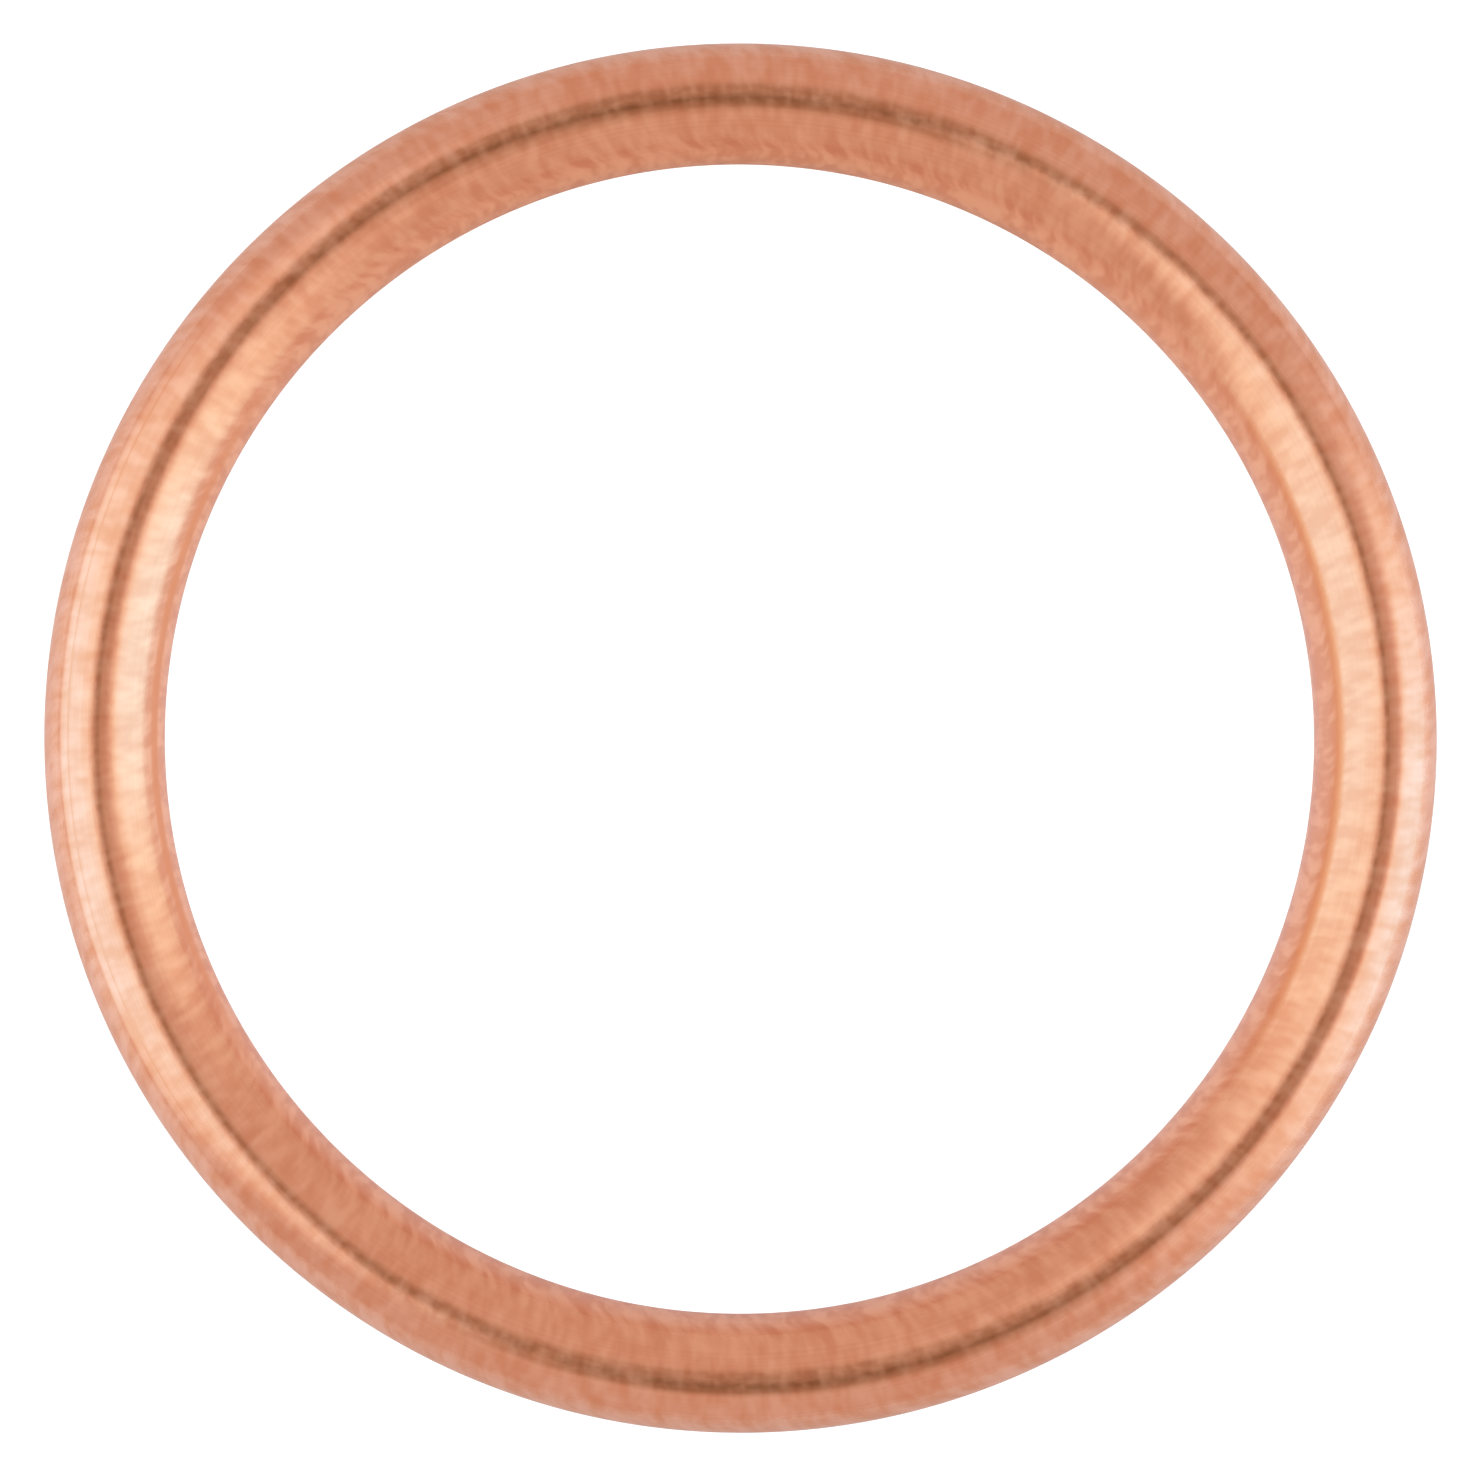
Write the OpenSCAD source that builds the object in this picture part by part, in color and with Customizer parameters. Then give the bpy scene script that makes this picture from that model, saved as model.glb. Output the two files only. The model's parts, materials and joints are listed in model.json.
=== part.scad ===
// Copper crush washer: one ring of annealed copper sheet, rolled into a hollow
// section that flattens under a screwed plug and seals its joint.
// Millimetres, +Z along the bore. The washer rests on its closing flap at Z = 0.

/* [Ring] */
// Bore diameter, a clearance hole for an M22 thread
bore_d = 22.3; // [6:0.1:60]
// Width of the rolled section, from the bore to the rim
section_w = 2.3; // [1.9:0.05:4]
// Free height of the section, before it is crushed
free_h = 2.5; // [2.1:0.05:4]

/* [Sheet] */
// Thickness of the copper sheet
sheet_t = 0.3; // [0.15:0.01:0.4]
// Outside radius of the crown's bend on the bore side
bore_bend_r = 1.25; // [0.6:0.05:1.4]
// Outside radius of the crown's bend on the rim side, and of the rim's lower bend
rim_bend_r = 0.95; // [0.6:0.05:1.1]
// Least flat that the bends leave between them
least_flat = 0.05; // [0.03:0.01:0.2]

/* [Closing fold] */
// Outside radius of the bend that tucks the bore wall under
tuck_r = 0.5; // [0.45:0.05:0.7]
// Distance from the tuck bend to the edge of the closing flap
flap_setback = 0.1; // [0:0.05:0.3]
// Gap between the closing flap and the tucked flap above it
lap_gap = 0.04; // [0.02:0.01:0.1]
// Rounding of the closing flap's visible edge
edge_r = 0.12; // [0.05:0.01:0.14]

/* [Hidden] */
$fn = 96;

bore_r = bore_d / 2;
rim_r = bore_r + section_w;

// Where the tuck bend ends, and the height of the tucked flap's underside
tuck_end_r = bore_r + tuck_r;
tuck_z = sheet_t + lap_gap;

// The bends as they fit the section: a tight section shrinks them together, so
// that a flat is left on the crown, the rim and the bore wall
crown_fit = (section_w - least_flat) / (bore_bend_r + rim_bend_r);
rim_fit = (free_h - least_flat) / (2 * rim_bend_r);
bore_fit = (free_h - least_flat - tuck_z - tuck_r) / bore_bend_r;
bend_fit = min(1, crown_fit, rim_fit, bore_fit);
bore_bend = bend_fit * bore_bend_r;
rim_bend = bend_fit * rim_bend_r;

// Where the rim's lower bend starts, which the tucked flap reaches from inside
rim_tangent_r = rim_r - rim_bend;

// Where the closing flap's free edge lies
flap_edge_r = tuck_end_r + flap_setback;

// The sheet's course round the section, from the closing flap's free edge to
// the tucked flap's end. Each step is a straight run and the outside radius of
// the quarter bend after it.
course = [
    [rim_tangent_r - flap_edge_r, rim_bend],          // closing flap, lying on Z = 0
    [free_h - 2 * rim_bend, rim_bend],                // rim, going up
    [section_w - rim_bend - bore_bend, bore_bend],    // crown, going inwards
    [free_h - bore_bend - tuck_z - tuck_r, tuck_r],   // bore wall, going down
    [rim_tangent_r - tuck_end_r, 0],                  // tucked flap, going outwards
];

// A straight run of sheet along +X, with its outside face on the X axis
module run(length) {
    square([length, sheet_t]);
}

// A quarter bend that turns left, from the origin heading along +X
module bend(outside_r) {
    translate([0, outside_r])
        intersection() {
            difference() {
                circle(outside_r);
                circle(outside_r - sheet_t);
            }
            translate([0, -outside_r])
                square(outside_r);
        }
}

// The sheet's section from one step of its course onwards
module follow(steps, at = 0) {
    length = steps[at][0];
    outside_r = steps[at][1];
    run(length);
    if (outside_r > 0)
        translate([length, 0]) {
            bend(outside_r);
            translate([outside_r, outside_r])
                rotate(90)
                    follow(steps, at + 1);
        }
}

// What is taken off the outside corner of a sheet edge at the origin to round it
module edge_rounding() {
    difference() {
        square(edge_r);
        translate([edge_r, edge_r])
            circle(edge_r);
    }
}

// The rolled section, with X as the radius
module section() {
    translate([flap_edge_r, 0])
        difference() {
            follow(course);
            edge_rounding();
        }
}

// The whole washer, turned round the bore
module crush_washer() {
    color("#cd8c66")
        rotate_extrude()
            section();
}

crush_washer();
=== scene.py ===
# %% [markdown]
# # A copper crush washer
#
# The washer is one ring of soft copper sheet, rolled into a hollow section and folded shut underneath.
# A plug crushes it once, and the copper seals the joint.
# The CAD model holds its true size and folds. This lesson adds what the eye sees: the fine waves that
# rolling leaves in the sheet, and a copper finish that catches soft light as bright and dark bands.
#
# The first lines load the CAD model as a fixed frame. Everything after them is in its metres.

# %% Load the frame
import json

import bpy
import numpy as np
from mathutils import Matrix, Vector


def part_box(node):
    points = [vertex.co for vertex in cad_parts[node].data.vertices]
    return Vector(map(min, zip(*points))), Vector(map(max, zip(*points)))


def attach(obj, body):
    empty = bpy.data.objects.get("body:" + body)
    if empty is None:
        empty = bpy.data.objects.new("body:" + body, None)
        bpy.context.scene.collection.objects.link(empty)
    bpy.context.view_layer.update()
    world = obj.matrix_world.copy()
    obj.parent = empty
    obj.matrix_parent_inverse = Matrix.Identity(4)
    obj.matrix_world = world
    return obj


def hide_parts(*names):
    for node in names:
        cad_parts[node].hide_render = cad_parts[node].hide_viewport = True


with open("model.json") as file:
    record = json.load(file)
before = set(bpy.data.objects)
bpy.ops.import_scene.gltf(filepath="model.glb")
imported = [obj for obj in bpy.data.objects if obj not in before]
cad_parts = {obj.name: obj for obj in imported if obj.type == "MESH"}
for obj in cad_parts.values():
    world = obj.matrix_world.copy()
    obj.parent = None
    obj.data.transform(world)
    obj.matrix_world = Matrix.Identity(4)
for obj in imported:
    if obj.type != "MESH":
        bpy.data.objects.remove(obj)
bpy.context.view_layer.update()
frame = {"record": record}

MM = 0.001

# %% [markdown]
# ## The ring's sizes
#
# Sizes could be typed in again, but then a change in the CAD model would leave this script behind.
# The frame has them already: the node's box gives the rim and the height, and the record's mounts give
# the bore, the straight part of its wall and the crown's middle. The bends and the flat on the crown
# follow by subtraction.

# %% Read the sizes from the frame
ring_low, ring_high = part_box("crush_washer")
mounts = {mount["name"]: mount for mount in frame["record"]["mounts"]}
bore = mounts["bore"]

rim_radius = ring_high.x
height = ring_high.z
bore_radius = bore["dims"]["r_mm"] * MM
wall_half = bore["dims"]["length_mm"] * MM / 2
wall_top = bore["pos_m"][2] + wall_half
wall_foot = bore["pos_m"][2] - wall_half
crown_radius = mounts["upper_seal_face"]["pos_m"][0]

bore_bend = height - wall_top
crown_half = crown_radius - bore_radius - bore_bend
rim_bend = rim_radius - crown_radius - crown_half
print(f"bends in mm: bore side {bore_bend / MM:.2f}, rim side {rim_bend / MM:.2f}, "
      f"flat {2 * crown_half / MM:.2f}")

# %% [markdown]
# ## The rolled section
#
# Cut the ring anywhere and the cut shows one strip of sheet: a flap on the floor, up round the rim, over
# the crown, down the bore wall, and tucked back under itself above the flap.
# A curve object could draw that, but a list of straight runs and quarter bends says how the sheet was
# folded. The section is walked along its outside first and then back along its inside, as one closed
# line. The last number of a run is how many points it gets, and the crown's two bends get the most.

# %% Sizes of the folds
sheet = 0.3 * MM
lap_gap = 0.04 * MM
flap_setback = 0.1 * MM
edge_round = 0.12 * MM

tuck_bend = wall_foot - sheet - lap_gap
tuck_end = bore_radius + tuck_bend
tuck_height = sheet + lap_gap
flap_edge = tuck_end + flap_setback
rim_tangent = rim_radius - rim_bend
crown_inner = crown_radius - crown_half
print(f"tuck in mm: bent by {tuck_bend / MM:.2f}, {tuck_height / MM:.2f} above the floor")


# %% Straight runs and bends
def straight(start, end, count):
    """Points on a line, without its last one: start + t (end - start), with t even from 0."""
    t = np.arange(count)[:, None] / count
    return np.array(start) + t * (np.array(end) - np.array(start))


def bend(centre, radius, first, last, count):
    """Points on an arc, without its last one: centre + radius (cos a, sin a), with a even in degrees."""
    a = np.radians(np.linspace(first, last, count, endpoint=False))
    return np.array(centre) + radius * np.stack([np.cos(a), np.sin(a)], axis=1)


rim_low = (rim_tangent, rim_bend)
rim_high = (rim_tangent, height - rim_bend)
crown_centre = (crown_inner, wall_top)
tuck_centre = (tuck_end, wall_foot)
print(f"bore side's bend in mm: centre {crown_inner / MM:.2f} from the axis, {wall_top / MM:.2f} high")

# %% Walk round the section
outside = [
    straight((flap_edge + edge_round, 0), (rim_tangent, 0), 3),
    bend(rim_low, rim_bend, -90, 0, 6),
    straight((rim_radius, rim_bend), (rim_radius, height - rim_bend), 2),
    bend(rim_high, rim_bend, 0, 90, 14),
    straight((rim_tangent, height), (crown_inner, height), 2),
    bend(crown_centre, bore_bend, 90, 180, 16),
    straight((bore_radius, wall_top), (bore_radius, wall_foot), 2),
    bend(tuck_centre, tuck_bend, 180, 270, 5),
    straight((tuck_end, tuck_height), (rim_tangent, tuck_height), 1),
]
inside = [
    straight((rim_tangent, tuck_height), (rim_tangent, tuck_height + sheet), 1),
    straight((rim_tangent, tuck_height + sheet), (tuck_end, tuck_height + sheet), 1),
    bend(tuck_centre, tuck_bend - sheet, 270, 180, 2),
    straight((bore_radius + sheet, wall_foot), (bore_radius + sheet, wall_top), 1),
    bend(crown_centre, bore_bend - sheet, 180, 90, 4),
    straight((crown_inner, height - sheet), (rim_tangent, height - sheet), 1),
    bend(rim_high, rim_bend - sheet, 90, 0, 4),
    straight((rim_radius - sheet, height - rim_bend), (rim_radius - sheet, rim_bend), 1),
    bend(rim_low, rim_bend - sheet, 0, -90, 4),
    straight((rim_tangent, sheet), (flap_edge, sheet), 1),
    straight((flap_edge, sheet), (flap_edge, edge_round), 1),
    bend((flap_edge + edge_round, edge_round), edge_round, 180, 270, 3),
]
section = np.concatenate(outside + inside)
rows = len(section)
flap_rows = len(outside[0])
outside_rows = sum(len(run) for run in outside)
print("section:", rows, "points,", outside_rows, "of them on the outside")

# %% [markdown]
# ## Where a point lies across the sheet
#
# Later steps need two facts about each point of the section: which way its surface faces, and how far it
# is from the crown's middle along the sheet. Both come from the steps between neighbouring points.
# The distance is in millimetres, above 0 on the rim side and below 0 on the bore side.

# %% Measure along the section
step_on = np.roll(section, -1, axis=0) - section
along = step_on + np.roll(step_on, 1, axis=0)
along /= np.linalg.norm(along, axis=1, keepdims=True)
outward = np.stack([along[:, 1], -along[:, 0]], axis=1)

travelled = np.concatenate([[0], np.cumsum(np.linalg.norm(step_on, axis=1))])
crown_row = np.argmin(np.hypot(section[:, 0] - crown_radius, section[:, 1] - height))
across = (travelled[crown_row] - travelled[:-1]) / MM
print(f"sheet from the crown's middle: {across[0]:.2f} mm to the flap, "
      f"{across[outside_rows - 1]:.2f} mm to the tuck")

# %% [markdown]
# ## Waves that rolling leaves
#
# Sheet that is rolled into a ring is stretched in some places and squeezed in others, so it can't lie
# quite smooth: faint waves run across it. They tilt the surface by about a quarter of a degree and are
# a few thousandths of a millimetre deep at most, but a shiny surface shows them as streaks.
# Noise could be put on each vertex, but waves have to close on themselves after one turn. So each wave
# line is a sum of whole numbers of waves round the ring, which an inverse Fourier transform adds up.

# %% Draw the wave lines
columns = 1296
stations = 11
fewest_waves, most_waves = 12, 150
wave_tilt = np.radians(0.25)
shared_share = 0.6
wave_seed = 22
turn = 2 * np.pi * np.arange(columns) / columns


def wave_line(random):
    """A line round the ring: cosines of every whole number of waves from the fewest to the most, each
    with a random phase and a height of 1 / waves. It is scaled so that the standard deviation of its
    slopes is the tangent of wave_tilt."""
    counts = np.arange(columns // 2 + 1)
    kept = (counts >= fewest_waves) & (counts <= most_waves)
    heights = np.where(kept, 1 / np.maximum(counts, 1.0), 0.0)
    phases = np.exp(2j * np.pi * random.random(counts.size))
    line = np.fft.irfft(heights * phases, columns)
    slope = np.gradient(line, crown_radius * turn[1])
    return line * np.tan(wave_tilt) / slope.std()


random = np.random.default_rng(wave_seed)
shared = wave_line(random)
own = np.stack([wave_line(random) for _ in range(stations)])
lines = shared_share * shared + np.sqrt(1 - shared_share ** 2) * own
print("wave lines:", stations, "with", columns, "points each")

# %% [markdown]
# The lines lie at even distances across the sheet, and a point between two of them takes a share of each.
# The waves are strongest on the crown and fade towards both feet. The flap, which lies on the floor, and
# the hidden inside have none.

# %% Lay the waves across the sheet
share_at_crown, share_lost_per_mm, least_share = 1.4, 1.1, 0.2
places = np.linspace(across[outside_rows - 1], across[0], stations)
spacing = places[1] - places[0]
nearness = np.clip(1 - np.abs(across[:, None] - places) / spacing, 0, 1)
waves = nearness @ lines
waves *= np.clip(share_at_crown - share_lost_per_mm * np.abs(across[:, None]), least_share, 1)
waves[outside_rows:] = 0
waves[:flap_rows] = 0
print(f"waves in mm: {waves.std() / MM:.4f} deep on average, at most {np.abs(waves).max() / MM:.4f}")

# %% [markdown]
# ## Sweep the section round the bore
#
# A Screw modifier could turn the section, but it would repeat the same section all the way. As a grid of
# numbers, each point can carry its own bit of wave: the point moves out along its normal, and then its
# radius is turned into x and y.
# A rolled ring is never quite true either. The crown leans out by a hair, more the higher a point lies,
# and outside its bore the ring is a hair oval.

# %% Place the points
lean = 0.028 * MM
oval_by = 0.015 * MM
rise = np.clip((section[:, 1:] - rim_high[1]) / (height - rim_high[1]), 0, 1) ** 2
rise[outside_rows:] = 0
from_bore = np.clip((section[:, :1] - bore_radius) / (crown_radius - bore_radius), 0, 1)
oval = oval_by * np.cos(2 * turn)
radius = section[:, :1] + outward[:, :1] * waves + lean * rise + oval * from_bore
level = section[:, 1:] + outward[:, 1:] * waves
points = np.stack([radius * np.cos(turn), radius * np.sin(turn), level], axis=-1).reshape(-1, 3)
print(f"largest radius in mm: {radius.max() / MM:.3f}")

# %% [markdown]
# Faces join neighbours on the grid, which wraps round both ways, so the mesh is closed. It also carries
# the distance across the sheet as an attribute, which the copper reads, and a map of the grid.

# %% Build the washer's mesh
sharp_angle = np.radians(50)
row, column = np.meshgrid(np.arange(rows), np.arange(columns), indexing="ij")
next_row = (row + 1) % rows
next_column = (column + 1) % columns
corner_rows = np.stack([row, row, next_row, next_row], axis=-1)
corner_columns = np.stack([column, next_column, next_column, column], axis=-1)
quads = (corner_rows * columns + corner_columns).reshape(-1, 4)

mesh = bpy.data.meshes.new("crush_washer_skin")
mesh.from_pydata(points, [], quads)
mesh.attributes.new("across", "FLOAT", "POINT").data.foreach_set("value", np.repeat(across, columns))
map_u = np.stack([column, column + 1, column + 1, column], axis=-1) / columns
map_v = np.stack([row, row, row + 1, row + 1], axis=-1) / rows
course_map = mesh.uv_layers.new(name="course")
course_map.uv.foreach_set("vector", np.stack([map_u, map_v], axis=-1).astype(np.float32).ravel())
mesh.shade_smooth()
mesh.set_sharp_from_angle(angle=sharp_angle)

washer = bpy.data.objects.new("crush_washer_skin", mesh)
bpy.context.scene.collection.objects.link(washer)
print("washer:", len(mesh.vertices), "points,", 2 * len(mesh.polygons), "triangles")

# %% [markdown]
# ## Helpers for shader nodes
#
# Materials are trees of nodes, and writing each node and link by hand hides the idea behind them.
# A few small helpers keep it readable. The first ones give an empty tree, a node with its sockets filled
# and a sum.


# %% Node helpers
def bare_tree(owner):
    """The node tree of a new material or world, emptied."""
    owner.use_nodes = True
    owner.node_tree.nodes.clear()
    return owner.node_tree


def add(tree, kind, inputs=None, **options):
    """A node of that kind. Options set its properties. Inputs fill its sockets with values or links."""
    made = tree.nodes.new(kind)
    for name, value in options.items():
        setattr(made, name, value)
    for name, value in (inputs or {}).items():
        if isinstance(value, bpy.types.NodeSocket):
            tree.links.new(value, made.inputs[name])
        else:
            made.inputs[name].default_value = value
    return made


def calc(tree, operation, *values):
    """The output of a Math node that works on these values or sockets."""
    return add(tree, "ShaderNodeMath", dict(enumerate(values)), operation=operation).outputs[0]


print("node helpers ready")

# %% [markdown]
# Nothing on the washer changes at a hard border, so two more helpers give soft changes: a fade from one
# value to another, and a mix of two colours. A Mix node has sockets for numbers and vectors under the same
# names as those for colours, so the colour sockets are found by their places.

# %% Fades and mixes
FIRST_COLOUR, SECOND_COLOUR, MIXED_COLOUR = 6, 7, 2


def fade(tree, value, start, end, low=0.0, high=1.0):
    """Goes smoothly from low to high while the value goes from start to end."""
    inputs = {"Value": value, "From Min": start, "From Max": end, "To Min": low, "To Max": high}
    return add(tree, "ShaderNodeMapRange", inputs, interpolation_type="SMOOTHSTEP").outputs[0]


def mix_colours(tree, share, first, second):
    """The first colour, turning into the second as the share goes from 0 to 1."""
    inputs = {"Factor": share, FIRST_COLOUR: first, SECOND_COLOUR: second}
    return add(tree, "ShaderNodeMix", inputs, data_type="RGBA").outputs[MIXED_COLOUR]


print("fades and mixes ready")

# %% [markdown]
# ## Grain that runs across the sheet
#
# The marks on this copper run across the sheet, from the bore over the crown to the rim. They are almost
# straight over the crown and sweep round a little at both feet. A noise texture on plain coordinates
# would lie straight across the whole ring instead.
# So a node group takes the point's angle round the bore and twists it by d times the sum of crown_twist
# and foot_twist times d to the fourth, where d is the distance across the sheet, up to the sweep's end.
# Then the angle walks round a circle in noise space, and the distance moves along the circle's axis.
# A wide circle gives many narrow streaks, a slow walk along its axis makes them long, and the noise
# closes on itself after one turn. A small circle and a quick walk give lines that run round the ring.


# %% Helpers for groups
def new_group(name, inputs, outputs):
    """An empty node group with these number sockets, and its input and output nodes."""
    tree = bpy.data.node_groups.new(name, "ShaderNodeTree")
    for socket in inputs:
        tree.interface.new_socket(socket, in_out="INPUT", socket_type="NodeSocketFloat")
    for socket in outputs:
        tree.interface.new_socket(socket, in_out="OUTPUT", socket_type="NodeSocketFloat")
    return tree, add(tree, "NodeGroupInput").outputs, add(tree, "NodeGroupOutput").inputs


def use_group(tree, group, **values):
    """The outputs of a node group placed in this tree, with its inputs filled."""
    inputs = {name.capitalize(): value for name, value in values.items()}
    return add(tree, "ShaderNodeGroup", inputs, node_tree=group).outputs


print("group helpers ready")

# %% Group: cross grain
crown_twist = -0.006
foot_twist = -0.0056
sweep_end = 1.3
grain, given, result = new_group("cross_grain", ["Streaks", "Length", "Seed"], ["Grain"])
coordinates = add(grain, "ShaderNodeTexCoord").outputs["Object"]
place = add(grain, "ShaderNodeSeparateXYZ", {0: coordinates}).outputs
distance = add(grain, "ShaderNodeAttribute", attribute_name="across").outputs["Fac"]

bent = calc(grain, "MAXIMUM", calc(grain, "MINIMUM", distance, sweep_end), -sweep_end)
square = calc(grain, "MULTIPLY", bent, bent)
fourth = calc(grain, "MULTIPLY", square, square)
swept = calc(grain, "MULTIPLY", bent, calc(grain, "MULTIPLY_ADD", fourth, foot_twist, crown_twist))
angle = calc(grain, "ADD", calc(grain, "ARCTAN2", place["Y"], place["X"]), swept)

circle = calc(grain, "DIVIDE", given["Streaks"], 2 * np.pi)
noise_place = add(grain, "ShaderNodeCombineXYZ", {
    "X": calc(grain, "MULTIPLY", calc(grain, "COSINE", angle), circle),
    "Y": calc(grain, "MULTIPLY", calc(grain, "SINE", angle), circle),
    "Z": calc(grain, "ADD", calc(grain, "DIVIDE", distance, given["Length"]), given["Seed"]),
})
noise = add(grain, "ShaderNodeTexNoise", {
    "Vector": noise_place.outputs[0], "Scale": 1.0, "Detail": 1.0, "Roughness": 0.5,
})
grain.links.new(noise.outputs["Fac"], result["Grain"])
print("cross grain:", len(grain.nodes), "nodes")

# %% [markdown]
# ## The copper
#
# Copper is a metal, so it has no colour of its own apart from what it reflects: the base colour tints
# the reflections. A single tint and gloss would look like plastic film. On this washer broad and narrow
# streaks are a little paler or browner, faint lines run round it where it was rolled, and fine ripples
# break the edges of the reflections. The feet of the section are duller and more streaked than its crown.

# %% Streaks and feet
copper = bpy.data.materials.new("copper")
tree = bare_tree(copper)
broad = use_group(tree, grain, streaks=160, length=0.9, seed=3.0)["Grain"]
narrow = use_group(tree, grain, streaks=340, length=0.45, seed=11.0)["Grain"]
ripple = use_group(tree, grain, streaks=300, length=0.13, seed=19.0)["Grain"]
rolled = use_group(tree, grain, streaks=7, length=0.05, seed=23.0)["Grain"]

bore_foot_band = (-0.75, -1.18)
rim_foot_band = (0.5, 1.0)
distance = add(tree, "ShaderNodeAttribute", attribute_name="across").outputs["Fac"]
bore_foot = fade(tree, distance, *bore_foot_band)
foot = calc(tree, "MAXIMUM", bore_foot, fade(tree, distance, *rim_foot_band))
print("streaks ready:", len(tree.nodes), "nodes")

# %% [markdown]
# Two lines run round the ring. The rolling tool left a scratch on the rim side, which shows on the left.
# An orange line at the bore's foot is a painted reflection, the orange fringe of a window's edge.
# It is painted on the left, where it lies a little lower, and on the right.
# Both fade out as they go round, so each mask is a narrow band of the distance across, times a share that
# grows towards the sides.

# %% Scratch and painted orange reflection
scratch_place = 0.52
scratch_band = (0.03, 0.01)
left_side = (-9.5 * MM, -11.5 * MM)
coordinates = add(tree, "ShaderNodeTexCoord").outputs["Object"]
where = add(tree, "ShaderNodeSeparateXYZ", {0: coordinates}).outputs
off_scratch = calc(tree, "ABSOLUTE", calc(tree, "SUBTRACT", distance, scratch_place))
on_left = fade(tree, where["X"], *left_side)
scratch = calc(tree, "MULTIPLY", fade(tree, off_scratch, *scratch_band), on_left)

# The orange line is a painted reflection of a window's edge, only on the sides that face the windows.
orange_place = -1.19
orange_drift = 0.013 / MM
orange_band = (0.18, 0.04)
orange_share = 0.9
both_sides = (8.5 * MM, 11.2 * MM)
orange_middle = calc(tree, "MULTIPLY_ADD", where["X"], orange_drift, orange_place)
off_orange = calc(tree, "ABSOLUTE", calc(tree, "SUBTRACT", distance, orange_middle))
on_sides = fade(tree, calc(tree, "ABSOLUTE", where["X"]), *both_sides, high=orange_share)
orange_reflection_line = calc(tree, "MULTIPLY", fade(tree, off_orange, *orange_band), on_sides)
print("lines:", scratch_place, "and", orange_place, "mm from the crown's middle")

# %% [markdown]
# One noise alone looks too even, so the tint comes from a sum of all the streaks. At both feet they count
# for more: there, their departures from the noise's middle are added once again.

# %% Sum of the streaks
broad_share, narrow_share, rolled_share = 0.4, 0.46, 0.14
foot_share, bore_foot_share = 0.2, 0.24
noise_middle = 0.5
streaks = calc(tree, "MULTIPLY_ADD", broad, broad_share, calc(tree, "MULTIPLY", narrow, narrow_share))
streaks = calc(tree, "MULTIPLY_ADD", rolled, rolled_share, streaks)
foot_streaks = calc(tree, "MULTIPLY", calc(tree, "SUBTRACT", narrow, noise_middle), foot)
streaks = calc(tree, "MULTIPLY_ADD", foot_streaks, foot_share, streaks)
departure = calc(tree, "SUBTRACT", calc(tree, "ADD", broad, narrow), 2 * noise_middle)
bore_streaks = calc(tree, "MULTIPLY", departure, bore_foot)
streaks = calc(tree, "MULTIPLY_ADD", bore_streaks, bore_foot_share, streaks)
print("streaks summed:", len(tree.nodes), "nodes")

# %% [markdown]
# The sum picks the tint, from 0 for the deepest copper to 1 for the palest. The scratch is deeper than the
# copper round it. The bore side is a little deeper at its far right and a little paler at its far left.

# %% Tint
deep_to_pale = (0.3, 0.7)
scratch_tint, far_right_tint, far_left_tint = -0.5, -0.22, 0.12
bore_side = (-0.2, -0.5)
far_right = (9 * MM, 11.5 * MM)
far_left = (-10 * MM, -11.5 * MM)
tint = calc(tree, "MULTIPLY_ADD", scratch, scratch_tint, fade(tree, streaks, *deep_to_pale))
on_far_right = fade(tree, where["X"], *far_right, high=far_right_tint)
on_far_left = fade(tree, where["X"], *far_left, high=far_left_tint)
far_sides = calc(tree, "ADD", on_far_right, on_far_left)
tint = calc(tree, "MULTIPLY_ADD", far_sides, fade(tree, distance, *bore_side), tint)
print("tint ready:", len(tree.nodes), "nodes")

# %% [markdown]
# The tint mixes a deep copper with a pale one, which is warmer on the bore side than on the rim side.
# The painted orange reflection lies over both.

# %% Colour
pale_at_bore = (0.93, 0.50, 0.325, 1)
pale_at_rim = (0.905, 0.50, 0.37, 1)
deep_copper = (0.80, 0.36, 0.22, 1)
orange_reflection_copper = (0.80, 0.32, 0.16, 1)
bore_to_rim = (-0.8, 0.8)
pale_copper = mix_colours(tree, fade(tree, distance, *bore_to_rim), pale_at_bore, pale_at_rim)
streaked = mix_colours(tree, tint, deep_copper, pale_copper)
# Painted reflection: the orange line lies over the streaked copper.
copper_colour = mix_colours(tree, orange_reflection_line, streaked, orange_reflection_copper)
print("colour ready:", len(tree.nodes), "nodes")

# %% [markdown]
# Ripples and narrow streaks vary the gloss, and both feet are duller, the bore's foot most of all.
# A relief of less than a thousandth of a millimetre lets ripples and streaks catch the light. It is far
# too fine for the mesh, so it is a bump. All of it comes together in one Principled shader.

# %% Gloss, relief and shader
mottle_range = (0.68, 1.32)
least_dull, most_dull = 0.12, 0.19
foot_dullness, bore_foot_dullness = 0.15, 0.07
dullness = fade(tree, calc(tree, "ADD", ripple, narrow), *mottle_range, least_dull, most_dull)
dullness = calc(tree, "MULTIPLY_ADD", foot, foot_dullness, dullness)
dullness = calc(tree, "MULTIPLY_ADD", bore_foot, bore_foot_dullness, dullness)

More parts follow.
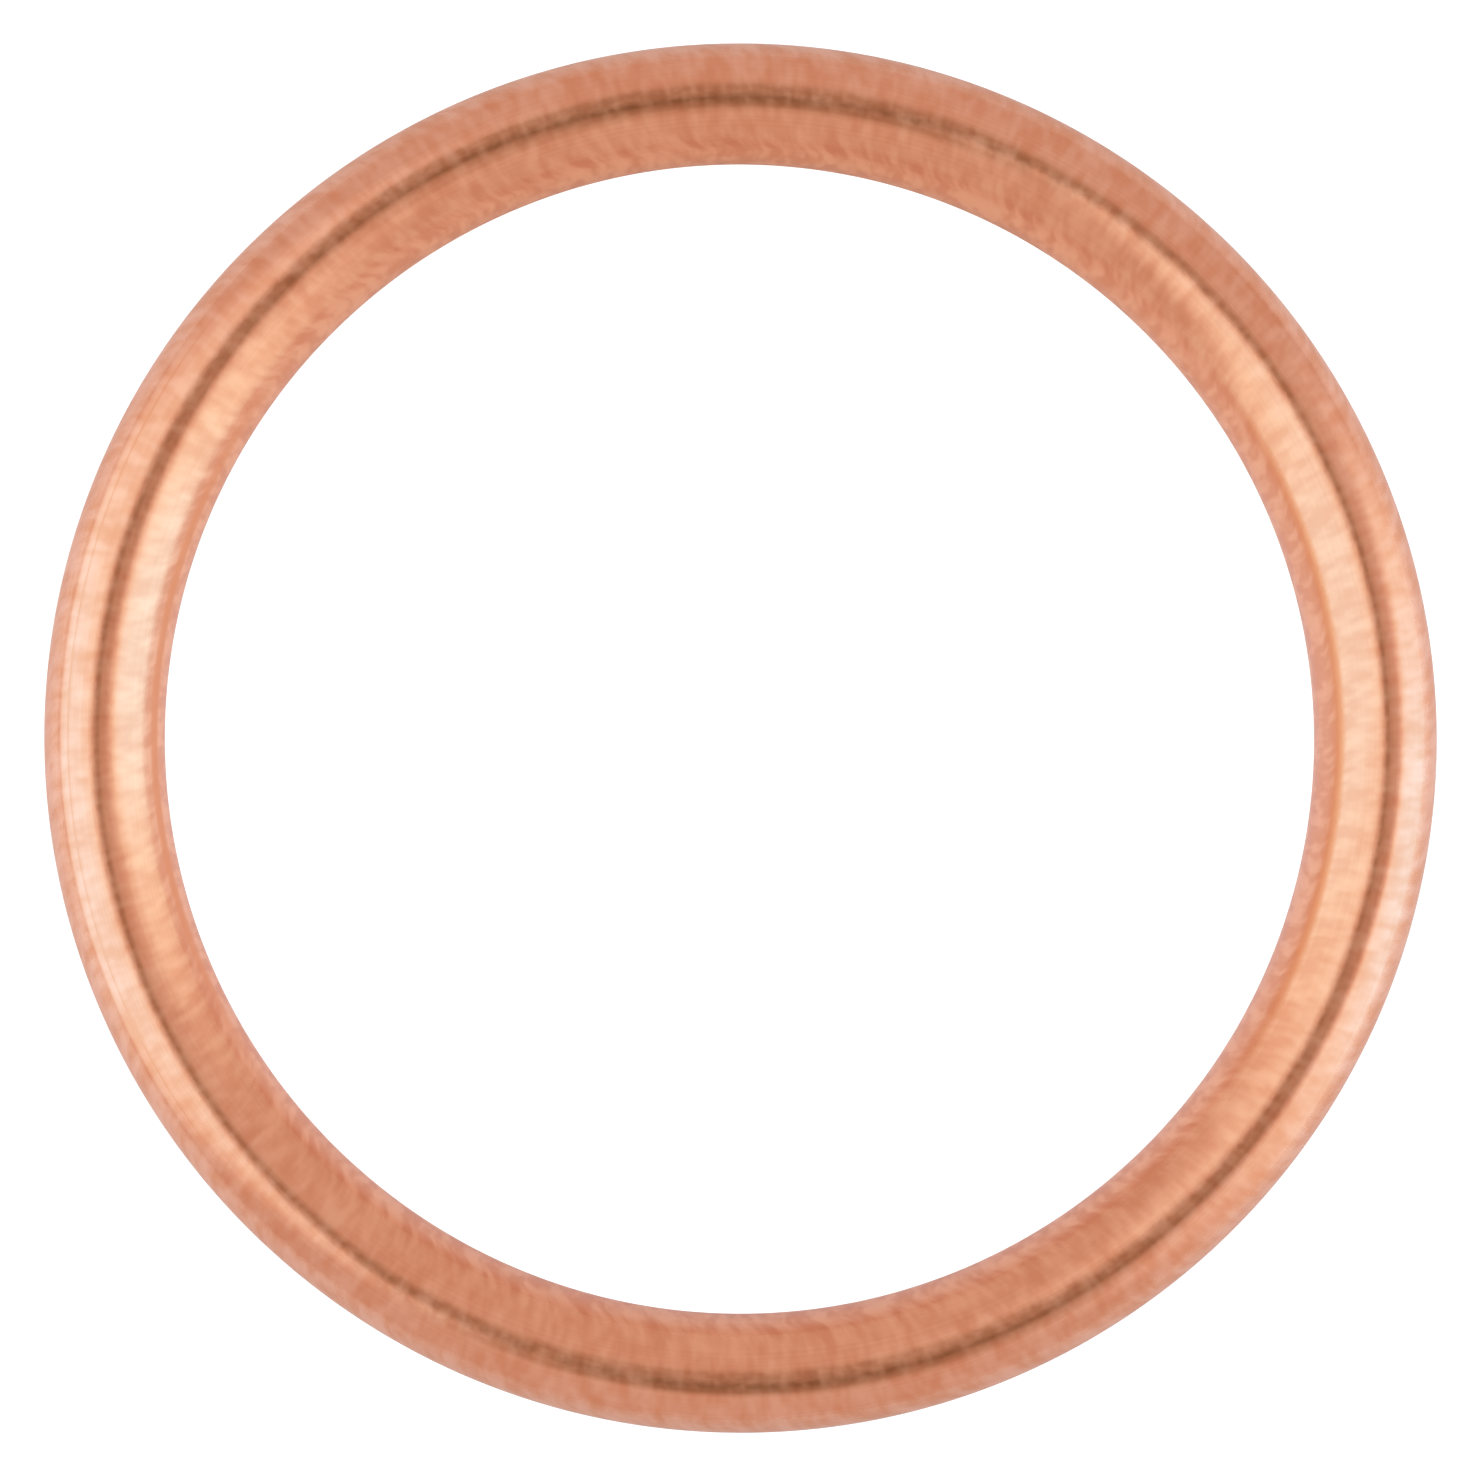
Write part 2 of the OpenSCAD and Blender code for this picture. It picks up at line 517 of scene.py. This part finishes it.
ripple_height, streak_height = 3.3, 0.8
relief_depth = 0.0004 * MM
streak_relief = calc(tree, "MULTIPLY", narrow, streak_height)
relief = calc(tree, "MULTIPLY_ADD", ripple, ripple_height, streak_relief)
bump = add(tree, "ShaderNodeBump", {"Height": relief, "Strength": 1.0, "Distance": relief_depth})
shader = add(tree, "ShaderNodeBsdfPrincipled", {
    "Base Color": copper_colour,
    "Metallic": 1.0,
    "Roughness": dullness,
    "Normal": bump.outputs["Normal"],
})
add(tree, "ShaderNodeOutputMaterial", {"Surface": shader.outputs["BSDF"]})
mesh.materials.append(copper)
print("copper:", len(tree.nodes), "nodes")

# %% [markdown]
# ## A pale floor
#
# The washer lies on smooth white card. A plane as a mesh of one face is enough, a hair below the flap.

# %% Floor
floor_reach = 1.5
floor_drop = 0.002 * MM
corners = floor_reach * np.array([(-1, -1, 0), (1, -1, 0), (1, 1, 0), (-1, 1, 0)])
corners[:, 2] = ring_low.z - floor_drop
floor_mesh = bpy.data.meshes.new("floor")
floor_mesh.from_pydata(corners, [], [(0, 1, 2, 3)])
floor = bpy.data.objects.new("floor", floor_mesh)
bpy.context.scene.collection.objects.link(floor)
print("floor:", 2 * floor_reach, "m wide")

# %% [markdown]
# The card mirrors the lights at low angles, as the washer's feet show. It glows a little on the left and
# the right, where the light comes from: a painted pool of light. Inside the bore its colour is painted
# light that the bore's foot reflects, cooler light in front and the copper's warm bounce at the back.
# A white surface in soft light is only light grey, so towards the camera the card is plain white light.

# %% Material: card
plain_card = (0.84, 0.80, 0.80, 1)
painted_cool_light = (0.90, 0.87, 0.97, 1)
painted_warm_bounce = (0.90, 0.76, 0.68, 1)
bore_edge = (12.5 * MM, 11 * MM)
front_to_back = (-0.2, 1.0)
glow_colour = (0.85, 1.0, 1.1, 1)
glow_aside = 0.22
card_dullness = 0.25
white = (1, 1, 1, 1)
plain_white = 1.2

card = bpy.data.materials.new("card")
tree = bare_tree(card)
where = add(tree, "ShaderNodeTexCoord").outputs["Object"]
from_middle = add(tree, "ShaderNodeVectorMath", {0: where}, operation="LENGTH").outputs["Value"]
towards = add(tree, "ShaderNodeVectorMath", {0: where}, operation="NORMALIZE").outputs["Vector"]
side = add(tree, "ShaderNodeSeparateXYZ", {0: towards}).outputs
# The glow is a painted pool of light on the left and the right.
glow = calc(tree, "MULTIPLY", calc(tree, "MULTIPLY", side["X"], side["X"]), glow_aside)
# Painted light inside the bore: cool in front, the copper's warm bounce at the back.
painted_light_in_bore = mix_colours(tree, fade(tree, side["Y"], *front_to_back), painted_cool_light, painted_warm_bounce)
shader = add(tree, "ShaderNodeBsdfPrincipled", {
    "Base Color": mix_colours(tree, fade(tree, from_middle, *bore_edge), plain_card, painted_light_in_bore),
    "Roughness": card_dullness,
    "Emission Color": glow_colour,
    "Emission Strength": glow,
})
seen = add(tree, "ShaderNodeLightPath").outputs["Is Camera Ray"]
plain = add(tree, "ShaderNodeEmission", {"Color": white, "Strength": plain_white})
shown = add(tree, "ShaderNodeMixShader", {0: seen, 1: shader.outputs[0], 2: plain.outputs[0]})
add(tree, "ShaderNodeOutputMaterial", {"Surface": shown.outputs[0]})
floor_mesh.materials.append(card)
print("card:", len(tree.nodes), "nodes")

# %% [markdown]
# ## Soft studio light
#
# A shiny ring shows its surroundings: a soft window of light on the left and one on the right, a plain
# room between them, and a dark place overhead with a darker gap in it. Area lamps could stand for the
# windows, but their edges are hard. The world's light as a function of direction gives edges that fade,
# and adds no noise.
# A straight edge, seen from the washer, lies in a plane through it. So how far a direction is past an
# edge is the angle that it makes with that plane, and an area is the product of what its edges let
# through.

# %% Edges and areas of light
scene = bpy.context.scene
scene.world = bpy.data.worlds.new("studio")
tree = bare_tree(scene.world)
direction = add(tree, "ShaderNodeTexCoord").outputs["Generated"]


def edge_share(azimuth, reach, soft):
    """1 inside a straight edge and 0 outside: the edge lies towards that azimuth, reach degrees from
    straight up, and fades over soft degrees. The angle past it is the arcsine of the direction times
    the normal that points inwards."""
    a, r = np.radians(azimuth), np.radians(reach)
    inward = (-np.cos(r) * np.cos(a), -np.cos(r) * np.sin(a), np.sin(r))
    product = add(tree, "ShaderNodeVectorMath", {0: direction, 1: inward}, operation="DOT_PRODUCT")
    past = calc(tree, "DEGREES", calc(tree, "ARCSINE", product.outputs["Value"]))
    return fade(tree, past, -soft / 2, soft / 2)


def light_area(around, level, edges):
    """That level of light inside all the edges, and the light around it elsewhere."""
    share = edge_share(*edges[0])
    for edge in edges[1:]:
        share = calc(tree, "MULTIPLY", share, edge_share(*edge))
    return calc(tree, "MULTIPLY_ADD", share, calc(tree, "SUBTRACT", level, around), around)


print("world:", scene.world.name)

# %% [markdown]
# Each area lies over the ones before it: the room, the dark place overhead, the gap in it, and the two
# windows. An edge is given by its azimuth, its reach from straight up and its softness, in degrees.

# %% Light from each direction
room, overhead, gap, left_window, right_window = 0.6, 0.18, 0.1, 1.52, 1.62
light = light_area(room, overhead, [(359, 25, 15), (99, -2, 9), (256, 21, 18), (159, 4, 9)])
light = light_area(light, gap, [(3, 4, 9), (92, 14, 18), (275, 14, 13), (185, 0, 9)])
light = light_area(light, left_window, [(62, 5, 40), (299, 6, 23), (9, -3.7, 11.5), (190, 83, 16)])
light = light_area(light, right_window, [(107, 6, 38), (237, -1, 43), (134, -14.8, 20)])
print("light from", len(tree.nodes), "nodes")

# %% [markdown]
# Light that has bounced round a room is warmer than light straight from a window. So the colour follows
# from the level: as it rises, red grows more slowly than green, and blue grows faster. Only the soft
# edges of the windows, at levels between the room's and a window's, are a little more orange.
# The camera sees plain white where there is no floor.

# %% World
red_share, red_lost = 1.55, -0.52
blue_share, blue_lost, blue_power = 1.04, -0.13, 1.3
edge_begins, edge_ends = (0.5, 1.1), (1.7, 1.2)
red = calc(tree, "MULTIPLY", light, calc(tree, "MULTIPLY_ADD", light, red_lost, red_share))
window_edge = calc(tree, "MULTIPLY", fade(tree, light, *edge_begins), fade(tree, light, *edge_ends))
blue_factor = calc(tree, "MULTIPLY_ADD", window_edge, blue_lost, blue_share)
blue = calc(tree, "MULTIPLY", calc(tree, "POWER", light, blue_power), blue_factor)
colour = add(tree, "ShaderNodeCombineColor", {"Red": red, "Green": light, "Blue": blue}).outputs["Color"]

lit = add(tree, "ShaderNodeBackground", {"Color": colour})
plain = add(tree, "ShaderNodeBackground", {"Color": white, "Strength": plain_white})
seen = add(tree, "ShaderNodeLightPath").outputs["Is Camera Ray"]
shown = add(tree, "ShaderNodeMixShader", {0: seen, 1: lit.outputs[0], 2: plain.outputs[0]})
add(tree, "ShaderNodeOutputWorld", {"Surface": shown.outputs[0]})
scene.view_settings.view_transform = "Standard"
print("world's light:", len(tree.nodes), "nodes")

# %% [markdown]
# ## The camera
#
# The photo looks almost straight down the bore. The middles of its two outlines differ a little, which
# puts the camera about 3 degrees off the bore's axis. Its distance is assumed: the bore's edge lies lower
# than the rim's, so the nearer the camera, the smaller the bore looks beside the rim.
# The lens then follows from how wide the ring is in the picture.

# %% Camera
camera_place = np.array([-8, -8, 200]) * MM
nearest_shown = 10 * MM
image_width_px = 1480
rim_radius_px = 696
aim_x, aim_y = -0.037 * MM, -0.038 * MM

ahead = np.array([aim_x, aim_y, height - rim_bend]) - camera_place
distance_ahead = np.linalg.norm(ahead)
focal_px = rim_radius_px * distance_ahead / rim_radius
camera_data = bpy.data.cameras.new("camera")
camera_data.lens = focal_px / image_width_px * camera_data.sensor_width
camera_data.clip_start = nearest_shown
camera = bpy.data.objects.new("camera", camera_data)
camera.location = camera_place
camera.rotation_euler = (np.arctan2(ahead[1], -ahead[2]), -np.arcsin(ahead[0] / distance_ahead), 0)
scene.collection.objects.link(camera)
scene.camera = camera
print(f"lens: {camera_data.lens:.1f} mm at {distance_ahead / MM:.0f} mm")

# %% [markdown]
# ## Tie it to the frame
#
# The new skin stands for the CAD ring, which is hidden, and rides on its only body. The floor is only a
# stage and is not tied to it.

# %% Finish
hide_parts("crush_washer")
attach(washer, "root")
